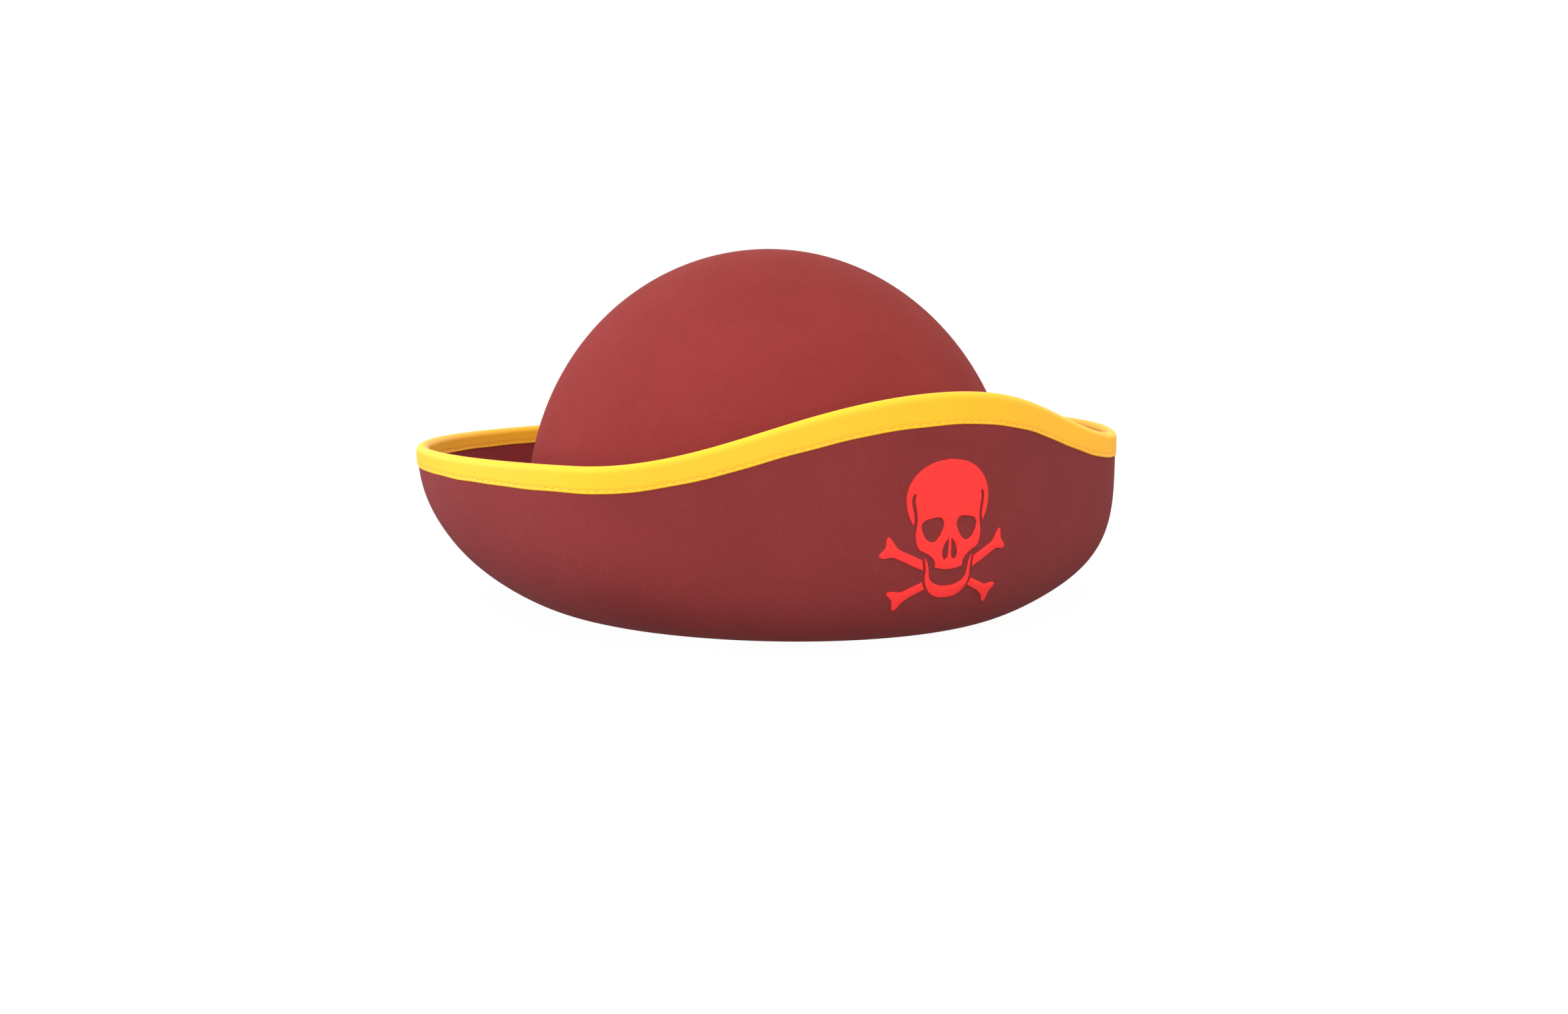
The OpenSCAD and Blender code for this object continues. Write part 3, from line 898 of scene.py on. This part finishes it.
def cleaned(points):
    """The outline without doubled points, with long straight runs divided."""
    kept = []
    for q in points:
        q = np.array(q, float)
        gap = np.linalg.norm(q - kept[-1]) if kept else OUTLINE_STEP
        if gap < SAME_POINT:
            continue
        if gap > 1.5 * OUTLINE_STEP:
            for parts_left in range(int(gap / OUTLINE_STEP) + 1, 1, -1):
                kept.append(kept[-1] + (q - kept[-1]) / parts_left)
        kept.append(q)
    if np.linalg.norm(kept[0] - kept[-1]) < SAME_POINT:
        kept.pop()
    return np.array(kept)


def turned_to(p, anticlockwise):
    x, y = p.T
    area = 0.5 * np.sum(x * np.roll(y, -1) - np.roll(x, -1) * y)
    return p if (area > 0) == anticlockwise else p[::-1]


def inside_loops(q, loops):
    """True for points that are inside an odd number of the loops."""
    count = np.zeros(len(q), int)
    for p in loops:
        a, b = p, np.roll(p, -1, axis=0)
        crosses = (a[None, :, 1] > q[:, None, 1]) != (b[None, :, 1] > q[:, None, 1])
        with np.errstate(divide="ignore", invalid="ignore"):
            x = a[None, :, 0] + (q[:, None, 1] - a[None, :, 1]) * (b - a)[None, :, 0] / (b - a)[None, :, 1]
        count += (crosses & (q[:, None, 0] < x)).sum(axis=1)
    return count % 2 == 1


def to_edges(q, loops):
    """Distance from each point to the nearest edge of the loops."""
    best = np.full(len(q), np.inf)
    for p in loops:
        way = np.roll(p, -1, axis=0) - p
        t = np.clip(((q[:, None] - p[None]) * way[None]).sum(-1) / (way * way).sum(-1)[None], 0, 1)
        off = q[:, None] - p[None] - t[..., None] * way[None]
        best = np.minimum(best, np.linalg.norm(off, axis=-1).min(axis=1))
    return best


def shoulder_of(p, loops):
    """The loop moved inward, by as much as the shape has room for at each point."""
    way = np.roll(p, -1, axis=0) - np.roll(p, 1, axis=0)
    way /= np.linalg.norm(way, axis=1, keepdims=True)
    inward = np.stack([-way[:, 1], way[:, 0]], axis=1)
    room = np.full(len(p), LEAST_REACH)
    # A reach fits where the shape goes on past it, clear of every edge
    for reach in SHOULDER_REACHES:
        near, past = p + inward * reach, p + inward * reach * 2.2
        free = inside_loops(past, loops)
        free &= (to_edges(near, loops) > 0.9 * reach) & (to_edges(past, loops) > reach)
        room[free] = reach
    # Neighbours' reaches are kept alike
    for _ in range(4):
        room = np.minimum(room, (np.roll(room, 1) + np.roll(room, -1)) / 2 + 0.01)
    return p + inward * room[:, None]


def filling(loops):
    """Points inside the loops, in staggered rows."""
    (x0, z0), (x1, z1) = np.vstack(loops).min(0), np.vstack(loops).max(0)
    x, z = np.meshgrid(np.arange(x0, x1, FILL_STEP), np.arange(z0, z1, FILL_STEP * ROW_SHARE))
    x = x + (np.arange(x.shape[0]) % 2)[:, None] * FILL_STEP / 2
    points = np.stack([x.ravel(), z.ravel()], axis=1)
    return points[inside_loops(points, loops) & (to_edges(points, loops) > FILL_CLEAR)]


def triangles(points, ties, loops):
    """Triangles over the points, inside the loops and along the ties between neighbours on them."""
    out, _, faces, came_from, _, _ = delaunay_2d_cdt([Vector(q) for q in points], ties, [], 0, 1e-6)
    if len(out) != len(points):
        raise ValueError("the emblem's shoulder crosses itself")
    faces = np.array([[came_from[v][0] for v in face] for face in faces])
    return faces[inside_loops(points[faces].mean(axis=1), loops)]


def on_wall(xz, depth):
    """Points of the brim's front at x and z, depth mm in from its outer face."""
    x, z = xz.T
    angle = np.arcsin(x / RIM_HALF_LENGTH)     # a first guess, which each round brings closer
    for _ in range(12):
        angle = np.arcsin(x / brim_r(angle, depth, z))
    return np.stack([x, -brim_r(angle, depth, z) * np.cos(angle), z], axis=1)


def patch(name, outlines, size, area, node):
    """A cut felt shape on the brim's front: an outline and its holes, with a soft shoulder inside them."""
    loops = [turned_to(cleaned(p), k == 0) for k, p in enumerate(outlines)]
    shoulders = [shoulder_of(p, loops) for p in loops]
    edge, rim, fill = np.vstack(loops), np.vstack(shoulders), filling(loops)
    ties, start = [], 0
    for p in loops:
        ties += [(start + k, start + (k + 1) % len(p)) for k in range(len(p))]
        start += len(p)
    faces = triangles(np.vstack([rim, fill]), ties, shoulders)
    bend = edge + (rim - edge) * BEND_AT
    rows = [on_wall(edge, SUNK), on_wall(edge, -EDGE_HEIGHT * EMBLEM), on_wall(bend, -BEND_HEIGHT * EMBLEM),
            on_wall(rim, -EMBLEM)]
    points = np.vstack(rows + [on_wall(fill, -EMBLEM), on_wall(fill, SUNK)])
    n = len(edge)
    sides = [[row * n + a, row * n + b, (row + 1) * n + b, (row + 1) * n + a]
             for row in range(len(rows) - 1) for a, b in ties]
    front = faces + (len(rows) - 1) * n
    rear = np.where(faces < n, faces, front + len(fill))[:, ::-1]
    piece = made(name, points, sides + front.tolist() + rear.tolist(), sharp=60)
    add(piece, emblem_mat, "emblem_felt", node)


patch("skull_felt_patch", [cranium + mirrored(cranium), eye, mirrored(eye), nostril, mirrored(nostril)],
      (0.0325, 0.038), 0.00078, "skull")
patch("jaw_felt_patch", [jaw + mirrored(jaw)], (0.019, 0.015), 0.0001, "jaw")
for height, outline, size, area in (("upper", upper_bone, (0.0155, 0.0125), 0.000062),
                                    ("lower", lower_bone, (0.013, 0.0101), 0.000056)):
    patch(f"bone_{height}_right_felt", [outline], size, area, f"bone_{height}_right")
    patch(f"bone_{height}_left_felt", [reflected(outline)], size, area, f"bone_{height}_left")

# ---- Wire and its joiner: CAD pieces that show as they are ----

for node, mat in (("brim_wire", wire_mat), ("wire_joiner", brass_mat)):
    piece = frame["nodes"][node]
    piece.data.materials.clear()
    piece.data.materials.append(mat)
    piece.data.polygons.foreach_set("use_smooth", [True] * len(piece.data.polygons))
    piece.data.set_sharp_from_angle(angle=math.radians(50))

# ---- Floor ----

FLOOR_HALF, FLOOR_DROP = 12.0, 0.0003      # metres; the drop keeps it off the hat's foot
FLOOR_WHITE = 1.01
WHITE_SHARE = 0.96                         # the rest of what the camera sees is lit, and shows shadow
FLOOR_GLOW, GLOW_COLOUR = 0.40, (1.0, 0.9, 0.88, 1)


def floor_material():
    """A light table: white to the camera, a soft glow up at the hat, and clear from underneath."""
    m = bpy.data.materials.new("studio_floor_mat")
    m.use_nodes = True
    tree = m.node_tree
    tree.nodes.clear()
    lit, white, glow, clear, path, side, out = (
        tree.nodes.new("ShaderNode" + kind)
        for kind in ("BsdfDiffuse", "Emission", "Emission", "BsdfTransparent", "LightPath", "NewGeometry",
                     "OutputMaterial"))
    lit.inputs["Color"].default_value = (0.9, 0.9, 0.9, 1)
    white.inputs["Strength"].default_value = FLOOR_WHITE
    glow.inputs["Strength"].default_value = FLOOR_GLOW
    glow.inputs["Color"].default_value = GLOW_COLOUR

    def mixed(low, high):
        mix = tree.nodes.new("ShaderNodeMixShader")
        tree.links.new(low.outputs[0], mix.inputs[1])
        tree.links.new(high.outputs[0], mix.inputs[2])
        return mix

    seen = mixed(lit, white)
    seen.inputs["Fac"].default_value = WHITE_SHARE
    above = mixed(glow, seen)
    tree.links.new(path.outputs["Is Camera Ray"], above.inputs["Fac"])
    either = mixed(above, clear)
    tree.links.new(side.outputs["Backfacing"], either.inputs["Fac"])
    tree.links.new(either.outputs[0], out.inputs["Surface"])
    return m


floor_corners = [(-FLOOR_HALF, -FLOOR_HALF, 0), (FLOOR_HALF, -FLOOR_HALF, 0), (FLOOR_HALF, FLOOR_HALF, 0),
                 (-FLOOR_HALF, FLOOR_HALF, 0)]
floor_mesh = bpy.data.meshes.new("studio_floor")
floor_mesh.from_pydata(floor_corners, [], [(0, 1, 2, 3)])
floor_mesh.materials.append(floor_material())
floor = bpy.data.objects.new("studio_floor", floor_mesh)
floor.location.z = -FLOOR_DROP
scene.collection.objects.link(floor)

# ---- Light: a bright room and three soft lamps ----

ROOM_COLOUR, ROOM_STRENGTH = (1.0, 0.965, 0.90, 1), 1.5
HAT_MIDDLE = Vector((0, 0, 0.06))
LAMP_AWAY, LAMP_SIZE = 1.8, 0.9            # metres
# Name, azimuth and elevation in degrees, watts, colour
LAMPS = (("left_light", -118, 12, 14.5, (0.94, 1.03, 1.20)),
         ("left_high_light", -100, 35, 3.3, (1.0, 1.0, 1.0)),
         ("front_light", -35, 10, 11.2, (1.0, 1.0, 1.02)))


def towards(azimuth, elevation):
    """The way out to an azimuth and elevation in degrees. Azimuth 0 is the front."""
    a, e = math.radians(azimuth), math.radians(elevation)
    return Vector((math.sin(a) * math.cos(e), -math.cos(a) * math.cos(e), math.sin(e)))


def placed(name, data, place, facing):
    """A lamp or camera at a place, facing a way."""
    thing = bpy.data.objects.new(name, data)
    thing.location = place
    thing.rotation_euler = facing.to_track_quat("-Z", "Y").to_euler()
    scene.collection.objects.link(thing)
    return thing


scene.view_settings.view_transform = "Standard"
scene.world = bpy.data.worlds.new("studio")
scene.world.use_nodes = True
room = scene.world.node_tree.nodes["Background"]
room.inputs["Color"].default_value = ROOM_COLOUR
room.inputs["Strength"].default_value = ROOM_STRENGTH

for name, azimuth, elevation, watts, colour in LAMPS:
    lamp = bpy.data.lights.new(name, "AREA")
    lamp.shape, lamp.size, lamp.energy, lamp.color = "DISK", LAMP_SIZE, watts, colour
    place = HAT_MIDDLE + towards(azimuth, elevation) * LAMP_AWAY
    placed(name, lamp, place, HAT_MIDDLE - place)

# ---- Camera ----

CAMERA_AZIMUTH, CAMERA_ELEVATION = -28.35, 8.5             # degrees
CAMERA_AWAY = 0.8557                       # metres, from the target
CAMERA_TARGET = Vector((0.005324, -0.002873, 0.0322))

camera = bpy.data.cameras.new("camera")
camera.lens, camera.sensor_width = 50, 36                  # millimetres
away = towards(CAMERA_AZIMUTH, CAMERA_ELEVATION)
scene.camera = placed("camera", camera, CAMERA_TARGET + away * CAMERA_AWAY, -away)
